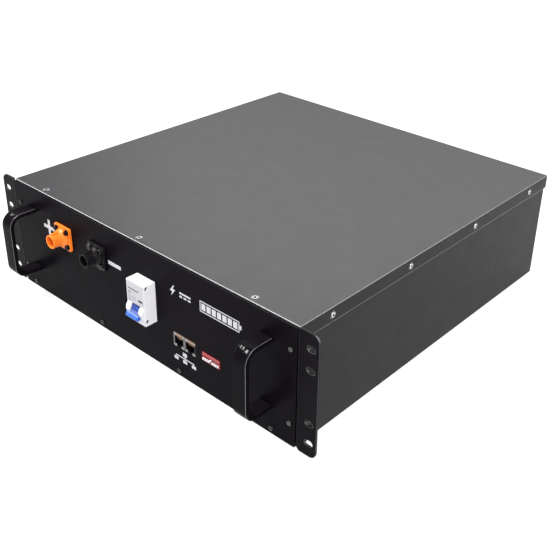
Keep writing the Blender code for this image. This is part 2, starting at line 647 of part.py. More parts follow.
def build_stack(side, sign):
    """Bonded cells with a groove between neighbours, contact plate on top and a clamp over it."""
    middle = sign * STACK_MID_X
    left, right = middle - CELL_WIDTH / 2, middle + CELL_WIDTH / 2
    front, top = stack_front_y(side), CELL_FLOOR_Z + CELL_HEIGHT
    stack = box(f"cell_stack_{side}", (left, front, CELL_FLOOR_Z), (right, STACK_BACK_Y, top),
                CELL_BLUE)
    grooves = []
    for index in range(1, CELLS_PER_STACK[side]):
        y = front + index * CELL_THICKNESS
        grooves.append(((left - 0.01, y - 0.0005, top - 0.0015), (right + 0.01, y + 0.0005, top + 0.01)))
    combine(stack, boxes(f"cell_grooves_{side}", grooves))

    plate = box(f"contact_plate_{side}", (left + 0.006, front + 0.006, top + GAP),
                (right - 0.006, STACK_BACK_Y - 0.006, top + 0.0030), BLACK_PLASTIC)
    busbars = []
    for row in (-1, 1):
        x = middle + row * 0.0460
        for index in range(CELLS_PER_STACK[side] // 2):
            y = front + (2 * index + (0.5 if row < 0 else 1.2)) * CELL_THICKNESS
            end = min(y + CELL_THICKNESS * 1.3, STACK_BACK_Y - 0.010)
            busbars.append(((x - 0.011, y, top + 0.0015), (x + 0.011, end, top + 0.0050)))
    combine(plate, boxes(f"busbars_{side}", busbars), "UNION")

    inner, outer = CELL_WIDTH / 2 + 0.0008, CELL_WIDTH / 2 + 0.0023
    foot, floor, roof = outer + 0.0090, SHEET + GAP, top + 0.0075
    outline = [(inner, floor), (foot, floor), (foot, floor + 0.0015), (outer, floor + 0.0015),
               (outer, roof + 0.0015), (-outer, roof + 0.0015), (-outer, floor + 0.0015),
               (-foot, floor + 0.0015), (-foot, floor), (-inner, floor), (-inner, roof), (inner, roof)]
    mid_y = (front + STACK_BACK_Y) / 2
    prism(f"stack_clamp_{side}", [(middle + x, z) for x, z in outline], "Y", mid_y - 0.0150,
          mid_y + 0.0150, GALVANISED)


def build_management_board():
    """Circuit board standing in front of the stacks, with its heat spreader and power stages."""
    front = 0.0960
    board = box("management_board", (-0.1300, front, 0.0120), (0.0800, front + 0.0020, 0.1100),
                GREEN_BOARD)
    stages = [((-0.1200 + 0.0270 * index, front - 0.0070, 0.0200),
               (-0.1000 + 0.0270 * index, front + 0.0010, 0.0700)) for index in range(7)]
    combine(board, boxes("power_stages", stages), "UNION")


def smooth_route(points, per_span=6):
    """Catmull-Rom points along a hand-laid route."""
    padded = [points[0]] + points + [points[-1]]
    route = []
    for before, start, end, after in zip(padded, padded[1:], padded[2:], padded[3:]):
        before, start, end, after = map(Vector, (before, start, end, after))
        for step in range(per_span):
            t = step / per_span
            route.append(0.5 * (2 * start + (end - before) * t
                                + (2 * before - 5 * start + 4 * end - after) * t ** 2
                                + (3 * start - before - 3 * end + after) * t ** 3))
    route.append(Vector(points[-1]))
    return route


def build_lead(name, points, look):
    curve = bpy.data.curves.new(name, "CURVE")
    curve.dimensions = "3D"
    curve.bevel_depth = LEAD_RADIUS
    curve.bevel_resolution = 2
    curve.use_fill_caps = True
    route = smooth_route(points)
    spline = curve.splines.new("POLY")
    spline.points.add(len(route) - 1)
    for point, place in zip(spline.points, route):
        point.co = (*place, 1)
    guide = bpy.data.objects.new(name + "_route", curve)
    PARTS.objects.link(guide)
    mesh = evaluated_copy(guide)
    bpy.data.objects.remove(guide)
    add_object(name, mesh, look)


def build_wiring():
    rear = CONTACT_REAR + GAP
    positive, negative = SOCKET_XS["positive"], SOCKET_XS["negative"]
    clamped = BREAKER_BODY_Z[0] + 0.0030
    build_lead("positive_lead", [
        (positive, rear, SOCKET_Z), (positive, rear + 0.012, SOCKET_Z - 0.001),
        (positive + 0.006, 0.0560, 0.0800), (positive + 0.016, 0.0560, 0.0450),
        (positive + 0.040, 0.0500, 0.0180), (-0.0350, 0.0400, 0.0110),
        (0.0050, 0.0362, 0.0130), (BREAKER_X, 0.0360, 0.0230), (BREAKER_X, 0.0360, 0.0300),
        (BREAKER_X, 0.0360, clamped)], ORANGE)
    build_lead("negative_lead", [
        (negative, rear, SOCKET_Z), (negative, rear + 0.012, SOCKET_Z),
        (negative - 0.003, 0.0650, 0.0900), (negative - 0.004, 0.0800, 0.0860),
        (negative - 0.004, 0.0960 - GAP, 0.0850)], BLACK_PLASTIC)
    top = BREAKER_BODY_Z[1] + GAP
    link = [(0.0280, top), (0.1750, top), (0.1750, top + 0.0025), (0.0280, top + 0.0025)]
    prism("breaker_link", link, "X", BREAKER_X - 0.0090, BREAKER_X + 0.0090, COPPER)


def shade_round_pieces():
    for part in PARTS.objects:
        if part.type == "MESH":
            part.data.shade_smooth()
            part.data.set_sharp_from_angle(angle=math.radians(35))


build_tray()
build_cover()
build_panel()
build_ear("left", -1)
build_ear("right", 1)
for side_name, handle_x in handle_mids().items():
    build_handle(side_name, handle_x)
build_screws()
build_socket("positive", SOCKET_XS["positive"], ORANGE)
build_socket("negative", SOCKET_XS["negative"], BLACK_PLASTIC)
build_breaker()
build_toggle()
build_breaker_bracket()
for number, jack_x in enumerate(JACK_XS, start=1):
    build_jack(number, jack_x)
build_switch()
build_communication_board()
build_stack("left", -1)
build_stack("right", 1)
build_management_board()
build_wiring()
shade_round_pieces()
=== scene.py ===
"""Looks of the rack battery module: finishes, fine shapes, printed marks and a plain studio.

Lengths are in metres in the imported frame: the module stands on z = 0 and its front panel faces -Y.
"""
import json
import math

import bmesh
import bpy
from mathutils import Matrix, Vector


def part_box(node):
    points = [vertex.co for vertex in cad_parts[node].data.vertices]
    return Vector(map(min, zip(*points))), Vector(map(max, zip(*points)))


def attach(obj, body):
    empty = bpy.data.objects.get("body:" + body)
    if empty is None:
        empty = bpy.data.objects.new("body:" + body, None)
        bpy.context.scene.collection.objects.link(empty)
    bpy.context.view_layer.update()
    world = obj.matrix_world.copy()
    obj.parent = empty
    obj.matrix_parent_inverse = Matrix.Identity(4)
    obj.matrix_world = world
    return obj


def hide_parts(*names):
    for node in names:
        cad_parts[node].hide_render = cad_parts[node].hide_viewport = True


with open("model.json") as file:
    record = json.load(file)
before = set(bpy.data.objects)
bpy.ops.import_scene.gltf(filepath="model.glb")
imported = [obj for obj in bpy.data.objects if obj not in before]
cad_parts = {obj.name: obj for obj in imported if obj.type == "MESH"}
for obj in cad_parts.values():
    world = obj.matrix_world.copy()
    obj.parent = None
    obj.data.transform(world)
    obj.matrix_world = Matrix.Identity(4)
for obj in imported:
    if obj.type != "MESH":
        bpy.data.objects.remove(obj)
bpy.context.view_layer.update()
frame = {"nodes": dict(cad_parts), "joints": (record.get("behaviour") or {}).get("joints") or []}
nodes = frame["nodes"]

LIFT = 0.00005                  # how far a print or a label stands off its ground
FACE_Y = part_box("front_panel")[0].y

# Turns that bring a piece's own +Z to the side it faces.
TURNS = {
    "front": Matrix.Rotation(math.pi / 2, 4, "X"),
    "back": Matrix.Rotation(-math.pi / 2, 4, "X"),
    "up": Matrix.Identity(4),
    "right": Matrix.Rotation(math.pi / 2, 4, "Y"),
    "left": Matrix.Rotation(-math.pi / 2, 4, "Y"),
}
# Turns a slab so that its own X lies along Y, its Y upright and its thickness along X.
SIDE_LAY = Matrix(((0, 0, 1, 0), (1, 0, 0, 0), (0, 1, 0, 0), (0, 0, 0, 1)))


def middle(node):
    low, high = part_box(node)
    return (low + high) / 2


# Finishes


EAR_SIDE_LIGHT = (0.017, 0.0155, 0.017)           # painted light: a lighter tint on the ears' sideways faces
COVER_SIDE_SHADE = (0.0072, 0.0063, 0.0073)       # painted shade: a darker tint on the cover's sideways faces
COVER_HEM_HIGHLIGHT = 0.0006                          # height of the painted highlight along the hem, above the flanges' foot
COVER_ROUNDING = 0.32                       # how much of the painted highlight colour the cover's roundings take


def finish(name, colour, roughness, metallic=0.0, specular=0.5, coat=0.0, mottle=0.10,
           mottle_scale=35, grain=0.00003, grain_scale=1400, spread=0.06, edge=None, soft=0.0,
           dust=0.0):
    """A Principled finish with drifting colour, uneven gloss, a fine grain and, if asked, a painted
    highlight on its edges.

    Scales are in waves per metre, and grain is the depth of the surface's relief in metres. Dust is
    the roughness added to what faces up. An edge is a kind and the colour of a painted highlight,
    made patchy by a fine noise: "rounded" paints it on what faces none of the three axes, "top" only
    on those that look up, "ear" also paints light on what faces sideways, and "cover" also paints
    the highlight on the cover's front cut and its hem and paints shade on its sides.
    """
    made = bpy.data.materials.new(name)
    made.use_nodes = True
    tree = made.node_tree
    shader = tree.nodes["Principled BSDF"]
    shader.inputs["Metallic"].default_value = metallic
    shader.inputs["Specular IOR Level"].default_value = specular
    shader.inputs["Coat Weight"].default_value = coat
    shader.inputs["Coat Roughness"].default_value = 0.08
    shader.inputs["Subsurface Weight"].default_value = soft
    shader.inputs["Subsurface Scale"].default_value = 0.002

    def add(kind, **values):
        node = tree.nodes.new(kind)
        for key, value in values.items():
            setattr(node, key, value)
        return node

    def wave(scale, detail):
        noise = add("ShaderNodeTexNoise")
        noise.inputs["Scale"].default_value = scale
        noise.inputs["Detail"].default_value = detail
        tree.links.new(place.outputs["Object"], noise.inputs["Vector"])
        return noise.outputs["Fac"]

    def spanned(source, low, high, start=0.3, end=0.7):
        span = add("ShaderNodeMapRange")
        span.inputs["From Min"].default_value = start
        span.inputs["From Max"].default_value = end
        span.inputs["To Min"].default_value = low
        span.inputs["To Max"].default_value = high
        tree.links.new(source, span.inputs["Value"])
        return span.outputs["Result"]

    def blended(factor, first, second):
        mix = add("ShaderNodeMix", data_type="RGBA")
        tree.links.new(factor, mix.inputs["Factor"])
        for socket, source in ((mix.inputs["A"], first), (mix.inputs["B"], second)):
            if isinstance(source, tuple):
                socket.default_value = (*source, 1)
            else:
                tree.links.new(source, socket)
        return mix.outputs["Result"]

    def figured(operation, *terms):
        node = add("ShaderNodeMath", operation=operation)
        for socket, term in zip(node.inputs, terms):
            if isinstance(term, float):
                socket.default_value = term
            else:
                tree.links.new(term, socket)
        return node.outputs["Value"]

    place = add("ShaderNodeTexCoord")
    drift = spanned(wave(mottle_scale, 4), 0, 1)
    dark = tuple(channel * (1 - mottle) for channel in colour)
    light = tuple(channel * (1 + mottle) for channel in colour)
    tint = blended(drift, dark, light)
    fine = wave(grain_scale, 2)
    gloss = spanned(wave(mottle_scale * 6, 5), roughness - spread, roughness + spread)
    if dust:
        facing = add("ShaderNodeSeparateXYZ")
        tree.links.new(place.outputs["Normal"], facing.inputs["Vector"])
        gloss = figured("ADD", gloss, spanned(facing.outputs["Z"], 0, dust, 0.935, 0.975))
    # The edge colour is a painted highlight on the roundings, made patchy by a fine noise.
    if edge is not None:
        kind, highlight_colour = edge
        parts = add("ShaderNodeSeparateXYZ")
        tree.links.new(place.outputs["Normal"], parts.inputs["Vector"])
        x, y, z = (figured("ABSOLUTE", parts.outputs[axis]) for axis in "XYZ")
        edge_highlight = spanned(figured("MAXIMUM", figured("MAXIMUM", x, y), z), 1, 0, 0.86, 0.985)
        if kind == "top":
            edge_highlight = figured("MULTIPLY", edge_highlight, spanned(parts.outputs["Z"], 0, 1, 0.10, 0.40))
        # Ears: sideways faces painted lighter, as painted light.
        if kind == "ear":
            tint = blended(spanned(x, 0, 1, 0.90, 0.97), tint, EAR_SIDE_LIGHT)
        # Cover: sideways faces painted darker, as painted shade.
        if kind == "cover":
            tint = blended(spanned(x, 0, 1, 0.90, 0.97), tint, COVER_SIDE_SHADE)
            # Cover: a painted highlight along the flanges' foot (the hem) and on the front cut.
            spot = add("ShaderNodeSeparateXYZ")
            tree.links.new(place.outputs["Object"], spot.inputs["Vector"])
            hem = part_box("top_cover")[0].z + COVER_HEM_HIGHLIGHT
            edge_highlight = figured("MAXIMUM", edge_highlight, spanned(spot.outputs["Z"], 1, 0, hem, hem + 0.0004))
            cut = spanned(parts.outputs["Y"], 1, 0, -0.93, -0.58)
            edge_highlight = figured("MAXIMUM", figured("MULTIPLY", edge_highlight, COVER_ROUNDING), cut)
        broken_highlight = figured("MULTIPLY", edge_highlight, spanned(wave(700, 3), 0.75, 1, 0.42, 0.60))
        tint = blended(broken_highlight, tint, highlight_colour)
    tree.links.new(tint, shader.inputs["Base Color"])
    tree.links.new(gloss, shader.inputs["Roughness"])
    bump = add("ShaderNodeBump")
    bump.inputs["Strength"].default_value = 0.7
    bump.inputs["Distance"].default_value = grain
    tree.links.new(fine, bump.inputs["Height"])
    tree.links.new(bump.outputs["Normal"], shader.inputs["Normal"])
    return made


# Each paint's edge colour is a painted highlight along its roundings; the cover's near-white one
# stands for the bright line on its folds.
FINISHES = {
    "panel_paint": finish("panel_paint", (0.0044, 0.0034, 0.0047), 0.36, specular=0.020, mottle=0.06,
                          mottle_scale=18, grain=0.00003, grain_scale=1100, spread=0.03,
                          edge=("top", (0.230, 0.225, 0.232))),
    "ear_paint": finish("ear_paint", (0.0048, 0.0038, 0.0050), 0.36, specular=0.03, mottle=0.06,
                        mottle_scale=18, grain=0.00003, grain_scale=1100, spread=0.03,
                        edge=("ear", (0.120, 0.117, 0.121))),
    "tray_paint": finish("tray_paint", (0.0118, 0.0106, 0.0119), 0.42, specular=0.14, mottle=0.04,
                         mottle_scale=9, grain=0.00003, grain_scale=1100, spread=0.03,
                         edge=("rounded", (0.070, 0.068, 0.071))),
    "cover_paint": finish("cover_paint", (0.0142, 0.0128, 0.0142), 0.42, specular=0.16, mottle=0.03,
                          mottle_scale=9, grain=0.00003, grain_scale=1500, spread=0.02,
                          edge=("cover", (0.80, 0.80, 0.81))),
    "gloss_black": finish("gloss_black", (0.0046, 0.0038, 0.0048), 0.050, specular=0.022, mottle=0.15,
                          grain=0.0000001, grain_scale=500, spread=0.008, dust=0.45),
    # A lighter finish for the handles' chamfers: a painted highlight.
    "painted_edge_highlight": finish("painted_edge_highlight", (0.092, 0.089, 0.093), 0.22, specular=0.5, mottle=0.15,
                            mottle_scale=200, grain=0.000004, grain_scale=900, spread=0.04),
    "zinc": finish("zinc", (0.60, 0.60, 0.59), 0.46, metallic=1.0, mottle=0.12, mottle_scale=900,
                   grain=0.00001, grain_scale=5000, spread=0.10),
    # A darker copy of zinc: painted shade on the top cover's screws and a painted glint in the right
    # panel screws' recesses.
    "shaded_zinc": finish("shaded_zinc", (0.200, 0.200, 0.198), 0.46, metallic=1.0, mottle=0.12,
                          mottle_scale=900, grain=0.00001, grain_scale=5000, spread=0.10),
    "black_steel": finish("black_steel", (0.006, 0.0056, 0.006), 0.14, specular=0.60, mottle=0.2,
                          mottle_scale=700, grain=0.00001, grain_scale=4000),
    "dull_steel": finish("dull_steel", (0.30, 0.295, 0.30), 0.28, metallic=1.0, mottle=0.2,
                         mottle_scale=700, grain=0.00001, grain_scale=4000),
    "dark_steel": finish("dark_steel", (0.080, 0.077, 0.080), 0.30, metallic=1.0, mottle=0.2,
                         mottle_scale=700, grain=0.00001, grain_scale=4000),
    "orange": finish("orange", (0.84, 0.195, 0.012), 0.36, specular=0.45, mottle=0.05,
                     mottle_scale=120, grain=0.00002, grain_scale=2500, soft=0.08),
    "black_plastic": finish("black_plastic", (0.0056, 0.0047, 0.0058), 0.36, specular=0.13,
                            mottle=0.15, mottle_scale=150, grain=0.00003, grain_scale=2500),
    "silver": finish("silver", (0.82, 0.80, 0.77), 0.24, metallic=1.0, mottle=0.08,
                     mottle_scale=600, grain=0.00001, grain_scale=5000),
    "gold": finish("gold", (0.85, 0.60, 0.25), 0.25, metallic=1.0, mottle=0.08, mottle_scale=900,
                   grain=0.00001, grain_scale=5000),
    "white": finish("white", (0.72, 0.706, 0.738), 0.40, specular=0.30, mottle=0.025,
                    mottle_scale=90, grain=0.00002, grain_scale=2600, soft=0.05),
    "blue": finish("blue", (0.034, 0.120, 0.47), 0.34, specular=0.45, mottle=0.06,
                   mottle_scale=200, grain=0.00002, grain_scale=2600, soft=0.05),
    # A darker copy of the lever's blue for the toggle's hub: painted shade.
    "shaded_blue": finish("shaded_blue", (0.009, 0.040, 0.24), 0.40, specular=0.30, mottle=0.08,
                        mottle_scale=200, grain=0.00002, grain_scale=2600),
    "beige": finish("beige", (0.235, 0.150, 0.104), 0.42, mottle=0.07, mottle_scale=250,
                    grain=0.00002, grain_scale=2600),
    "red": finish("red", (0.29, 0.013, 0.020), 0.38, mottle=0.08, mottle_scale=200,
                  grain=0.00002, grain_scale=2600),
    "board": finish("board", (0.020, 0.160, 0.060), 0.45, mottle=0.25, mottle_scale=260),
    "cell_film": finish("cell_film", (0.030, 0.120, 0.380), 0.35, mottle=0.10, mottle_scale=60),
    "copper": finish("copper", (0.80, 0.38, 0.22), 0.30, metallic=1.0, mottle=0.12,
                     mottle_scale=120),
    "galvanised": finish("galvanised", (0.45, 0.46, 0.47), 0.42, metallic=1.0, mottle=0.22,
                         mottle_scale=140),
    "ink": finish("ink", (0.52, 0.51, 0.53), 0.50, specular=0.2, mottle=0.06, mottle_scale=300,
                  grain=0.00001, grain_scale=3000),
    "label": finish("label", (0.45, 0.44, 0.465), 0.45, mottle=0.03, mottle_scale=100,
                    grain=0.00001, grain_scale=3000),
    "label_ink": finish("label_ink", (0.035, 0.035, 0.04), 0.45, mottle=0.10, mottle_scale=600,
                        grain=0.00001, grain_scale=3000),
    "clear_lens": finish("clear_lens", (0.26, 0.265, 0.275), 0.20, mottle=0.05, coat=0.5),
}


# Mesh making


def closed(work, name):
    """A mesh from a bmesh, welded and with its faces pointing out."""
    bmesh.ops.remove_doubles(work, verts=work.verts, dist=1e-7)
    bmesh.ops.recalc_face_normals(work, faces=work.faces)
    mesh = bpy.data.meshes.new(name)
    work.to_mesh(mesh)
    work.free()
    return mesh


def block(low, high):
    """A box between two corners."""
    work = bmesh.new()
    low, high = Vector(low), Vector(high)
    size = Matrix.Diagonal((*(high - low), 1))
    bmesh.ops.create_cube(work, size=1, matrix=Matrix.Translation((low + high) / 2) @ size)
    return closed(work, "block")


def blocks(corner_pairs):
    """Several boxes that don't touch, in one mesh."""
    work = bmesh.new()
    for low, high in corner_pairs:
        work.from_mesh(block(low, high))
    return closed(work, "blocks")


def slabs(outlines, low, high):
    """Flat (x, y) outlines, each made a slab from z = low to z = high."""
    work = bmesh.new()
    for outline in outlines:
        face = work.faces.new([work.verts.new((x, y, low)) for x, y in outline])
        lifted = bmesh.ops.extrude_face_region(work, geom=[face])["geom"]
        verts = [item for item in lifted if isinstance(item, bmesh.types.BMVert)]
        bmesh.ops.translate(work, verts=verts, vec=(0, 0, high - low))
    return closed(work, "slabs")


def turned(profile, steps=64):
    """A (radius, height) profile turned about Z."""
    work = bmesh.new()
    points = [work.verts.new((radius, 0, height)) for radius, height in profile]
    edges = [work.edges.new(pair) for pair in zip(points, points[1:])]
    bmesh.ops.spin(work, geom=points + edges, cent=(0, 0, 0), axis=(0, 0, 1), angle=2 * math.pi,
                   steps=steps, use_merge=True)
    return closed(work, "turned")


def disc(radius, low, high, steps=64):
    """A round plug about Z."""
    return turned([(0, low), (radius, low), (radius, high), (0, high)], steps)


def swept(path, section):
    """A section carried along a path of (point, across, out) rows, with both ends capped."""
    work = bmesh.new()
    rings = []
    for point, across, out in path:
        rings.append([work.verts.new(point + across * s + out * n) for s, n in section])
    for first, second in zip(rings, rings[1:]):
        for index in range(len(section)):
            after = (index + 1) % len(section)
            work.faces.new((first[index], first[after], second[after], second[index]))
    work.faces.new(rings[0])
    work.faces.new(rings[-1])
    return closed(work, "swept")


def moved(mesh, matrix):
    """The same mesh, turned and shifted."""
    mesh.transform(matrix)
    return mesh


def shaped(mesh, cuts=(), joins=(), bevel=0.0, segments=2, angle=32):
    """The mesh with others joined on, others cut out and, if asked, its edges rounded."""
    body = bpy.data.objects.new("body", mesh)
    bpy.context.scene.collection.objects.link(body)
    tools = []
    for operation, shapes in (("UNION", joins), ("DIFFERENCE", cuts)):
        for shape in shapes:
            tool = bpy.data.objects.new("tool", shape)
            bpy.context.scene.collection.objects.link(tool)
            tools.append(tool)
            modifier = body.modifiers.new("shape", "BOOLEAN")
            modifier.operation = operation
            modifier.solver = "EXACT"
            modifier.object = tool
    if bevel:
        add_bevel(body, bevel, segments, angle)
    bpy.context.view_layer.update()
    made = bpy.data.meshes.new_from_object(body.evaluated_get(bpy.context.evaluated_depsgraph_get()))
    for old in tools + [body]:
        bpy.data.objects.remove(old)
    return made


def add_bevel(target, width, segments, angle=32):
    """Rounds the edges that turn by more than an angle in degrees."""
    bevel = target.modifiers.new("rounding", "BEVEL")
    bevel.width = width
    bevel.segments = segments
    bevel.limit_method = "ANGLE"
    bevel.angle_limit = math.radians(angle)
    bevel.use_clamp_overlap = True
    bevel.miter_outer = "MITER_ARC"


def arc(centre, radius, start, end, steps):
    """Points on an arc, from start to end in degrees, both ends included."""
    angles = [math.radians(start + (end - start) * index / steps) for index in range(steps + 1)]
    return [(centre[0] + radius * math.cos(a), centre[1] + radius * math.sin(a)) for a in angles]


def rounded_rectangle(centre, width, height, radius, steps=8):
    """An outline with round corners, about a centre."""
    x, y = width / 2 - radius, height / 2 - radius
    outline = []
    for corner, start in (((x, y), 0), ((-x, y), 90), ((-x, -y), 180), ((x, -y), 270)):
        around = (centre[0] + corner[0], centre[1] + corner[1])
        outline += arc(around, radius, start, start + 90, steps)
    return outline


def rectangle(left, bottom, right, top):
    return [(left, bottom), (right, bottom), (right, top), (left, top)]


def add_piece(name, mesh, look, place=None, body="module", stands_for=(), crease=34):
    """A piece with one finish, riding on a body, put in place by a matrix."""
    piece = bpy.data.objects.new(name, mesh)
    bpy.context.scene.collection.objects.link(piece)
    if place is not None:
        piece.matrix_world = place
    if not mesh.materials:
        mesh.materials.append(FINISHES[look])
    mesh.shade_smooth()
    mesh.set_sharp_from_angle(angle=math.radians(crease))
    flatten = piece.modifiers.new("even_shading", "WEIGHTED_NORMAL")
    flatten.keep_sharp = True
    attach(piece, body)
    if stands_for:
        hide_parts(*stands_for)
    return piece


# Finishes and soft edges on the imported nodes


def smoothing_group():
    """A node group that smooths a mesh and keeps edges over the crease angle sharp."""
    group = bpy.data.node_groups.new("smooth_by_angle", "GeometryNodeTree")
    group.interface.new_socket("Geometry", in_out="INPUT", socket_type="NodeSocketGeometry")
    group.interface.new_socket("Geometry", in_out="OUTPUT", socket_type="NodeSocketGeometry")
    add, link = group.nodes.new, group.links.new
    start, end = add("NodeGroupInput"), add("NodeGroupOutput")
    faces, edges = add("GeometryNodeSetShadeSmooth"), add("GeometryNodeSetShadeSmooth")
    faces.domain, edges.domain = "FACE", "EDGE"
    angle, compare = add("GeometryNodeInputMeshEdgeAngle"), add("FunctionNodeCompare")
    compare.operation = "LESS_EQUAL"
    compare.inputs["B"].default_value = math.radians(34)
    link(angle.outputs["Unsigned Angle"], compare.inputs["A"])
    link(start.outputs[0], faces.inputs["Geometry"])
    link(faces.outputs["Geometry"], edges.inputs["Geometry"])
    link(compare.outputs["Result"], edges.inputs["Shade Smooth"])
    link(edges.outputs["Geometry"], end.inputs[0])
    return group


SMOOTHING = smoothing_group()


def dress(node, look, bevel=0.0, segments=2):
    """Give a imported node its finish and, if asked, rounded edges."""
    piece = nodes[node]
    piece.data.materials.clear()
    piece.data.materials.append(FINISHES[look])
    weld = piece.modifiers.new("weld", "WELD")
    weld.merge_threshold = 0.00001
    smooth = piece.modifiers.new("smooth", "NODES")
    smooth.node_group = SMOOTHING
    if bevel:
        add_bevel(piece, bevel, segments)
    flatten = piece.modifiers.new("even_shading", "WEIGHTED_NORMAL")
    flatten.keep_sharp = True


def dress_nodes():
    dress("rack_ear_left", "ear_paint", 0.0004)
    dress("rack_ear_right", "ear_paint", 0.0004)
    dress("chassis_tray", "tray_paint", 0.0005)
    dress("top_cover", "cover_paint", 0.0007, 3)
    dress("dip_switch_body", "red", 0.0002)
    for index in range(1, 10):
        dress(f"dip_slider_{index}", "white", 0.0002)
    for sign, look in (("positive", "orange"), ("negative", "black_plastic")):
        dress(f"{sign}_lead", look)
    dress("breaker_bracket", "galvanised", 0.0003)
    dress("breaker_link", "copper", 0.0003)
    dress("communication_board", "board", 0.0001)
    dress("management_board", "board", 0.0002)
    for side in ("left", "right"):
        dress(f"cell_stack_{side}", "cell_film", 0.0010, 3)
        dress(f"contact_plate_{side}", "black_plastic", 0.0004)
        dress(f"stack_clamp_{side}", "galvanised", 0.0004)
        for level in ("lower", "upper"):
            dress(f"handle_screw_{side}_{level}", "zinc")


# Front panel


def add_panel():
    """A flat sheet with windows for the fittings, a chamfered foot and a return under the cover."""
    low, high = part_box("front_panel")
    thickness, foot, inset = 0.0020, 0.0015, 0.0190
    outline = [(low.x + foot, low.z), (high.x - foot, low.z), (high.x, low.z + foot),
               (high.x, high.z), (low.x, high.z), (low.x, low.z + foot)]
    place = Matrix.Translation((0, FACE_Y, 0)) @ TURNS["front"]
    sheet = moved(slabs([outline], -thickness, 0), place)
    flange = block((low.x + inset, FACE_Y + thickness / 2, high.z - 0.0015),
                   (high.x - inset, high.y, high.z))
    cuts = []
    for sign in ("positive", "negative"):
        centre = middle(f"{sign}_socket")
        spot = Matrix.Translation((centre.x, FACE_Y, centre.z)) @ TURNS["front"]
        cuts.append(moved(disc(0.0103, -0.004, 0.004), spot))
    jacks = [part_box(f"network_jack_{index}") for index in (1, 2)]
    case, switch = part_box("breaker_case"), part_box("dip_switch_body")
    windows = [(case[0].x, BREAKER_NOSE[0], case[1].x, BREAKER_NOSE[1]),
               (jacks[0][0].x, jacks[0][0].z, jacks[1][1].x, jacks[1][1].z),
               (switch[0].x, switch[0].z, switch[1].x, switch[1].z)]
    slack = 0.0004
    for left, bottom, right, top in windows:
        cuts.append(block((left - slack, FACE_Y - 0.003, bottom - slack),
                          (right + slack, FACE_Y + 0.006, top + slack)))
    add_piece("panel_sheet", shaped(sheet, joins=[flange], cuts=cuts, bevel=0.0003), "panel_paint",
              stands_for=["front_panel"])


# Handles


HANDLE_BEND = 0.0150            # radius of the bends' outside
HANDLE_THICKNESS = 0.0050
HANDLE_CROWN = 0.00012          # how much the middle of the bow stands above its edges
HANDLE_FLAT = 0.00775           # half the bow's width without its chamfers
# handle, across from its middle, degrees above the horizontal on the bend, lamp's width, radiance
BEND_STROKES = (("right", -0.0047, 61, 0.018, 330), ("right", -0.0014, 60, 0.018, 330),
                ("right", 0.0036, 55, 0.040, 330), ("left", 0.0004, 66, 0.050, 45))


def add_handle(side):
    """A slightly crowned flat bow with chamfered edges painted lighter as a highlight, swept in fine
    steps.
    """
    node = f"handle_{side}"
    low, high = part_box(node)
    reach, half = high.y - low.y, (high.x - low.x) / 2
    thickness, bend, flat = HANDLE_THICKNESS, HANDLE_BEND, HANDLE_FLAT
    middle_x = (low.x + high.x) / 2
    centre_line = bend - thickness / 2
    outer, inner = [], []
    for step in range(13):
        across = flat - 2 * flat * step / 12
        rise = thickness / 2 - HANDLE_CROWN * (across / flat) ** 2
        outer.append((across, rise))
        inner.append((-across * half / flat, -rise))
    edge_height = outer[0][1] - (half - flat)
    section = [(half, edge_height)] + outer + [(-half, edge_height)] + inner
    turns = [(0, low.z + thickness / 2, -90)]
    for height, start in ((low.z + bend, -90), (high.z - bend, 0)):
        for degrees in [start + 90 * step / 18 for step in range(19)]:
            turn = math.radians(degrees)
            turns.append((reach - bend + centre_line * math.cos(turn),
                          height + centre_line * math.sin(turn), degrees))
    turns.append((0, high.z - thickness / 2, 90))
    path = []
    for out, height, degrees in turns:
        turn = math.radians(degrees)
        path.append((Vector((middle_x, high.y - out, height)), Vector((1, 0, 0)),
                     Vector((0, -math.cos(turn), math.sin(turn)))))
    bow = swept(path, section)
    bow.materials.append(FINISHES["gloss_black"])
    bow.materials.append(FINISHES["painted_edge_highlight"])
    # The chamfers take the lighter finish as a painted highlight.
    for face in bow.polygons:
        if 0.4 < abs(face.normal.x) < 0.9:
            face.material_index = 1
    add_piece(f"bow_{node}", bow, "gloss_black", stands_for=[node])


# Screws


def cross_recess(width, length, depth):
    """Two crossed blades that narrow with depth, to cut a recess below z = 0."""
    blades = []
    for turn in (0, math.pi / 2):
        work = bmesh.new()
        bmesh.ops.create_cube(work, size=1)
        for vert in work.verts:
            vert.co.x *= length * (0.45 if vert.co.z < 0 else 1.0)
            vert.co.y *= width * (0.7 if vert.co.z < 0 else 1.0)
            vert.co.z = vert.co.z * depth * 2 - depth * 0.02
        blades.append(moved(closed(work, "blade"), Matrix.Rotation(turn, 4, "Z")))
    return blades


def hexagon():
    """The outline of a hexagonal recess."""
    return [(0.0014 * math.cos(math.radians(a)), 0.0014 * math.sin(math.radians(a)))
            for a in range(0, 360, 60)]


def countersunk_mesh(look, proud):
    """A head that stands a little above z = 0, with its hexagonal recess painted black as shade."""
    profile = [(0, -0.0021), (0.0015, -0.0021), (0.0016, -0.0013), (0.0027, -0.00028),
               (0.0029, 0.0), (0.0029, proud * 0.4), (0.0026, proud * 0.85), (0.0022, proud),
               (0, proud)]
    head = shaped(turned(profile, 40), cuts=[slabs([hexagon()], -0.0012, 0.002)])
    head.materials.append(FINISHES[look])
    # The recess faces take black as painted shade.
    head.materials.append(FINISHES["black_plastic"])
    for face in head.polygons:
        if -0.0013 < face.center.z < proud * 0.9 and face.center.xy.length < 0.00135:
            face.material_index = 1
    return head


def cap_mesh():
    """A tall round head on a washer, standing on z = 0, with a hexagonal recess."""
    profile = [(0, 0), (0.0034, 0), (0.0034, 0.0005), (0.0027, 0.0006), (0.0027, 0.0024),
               (0.0024, 0.0028), (0, 0.0028)]
    return shaped(turned(profile, 36), cuts=[slabs([hexagon()], 0.0012, 0.004)])


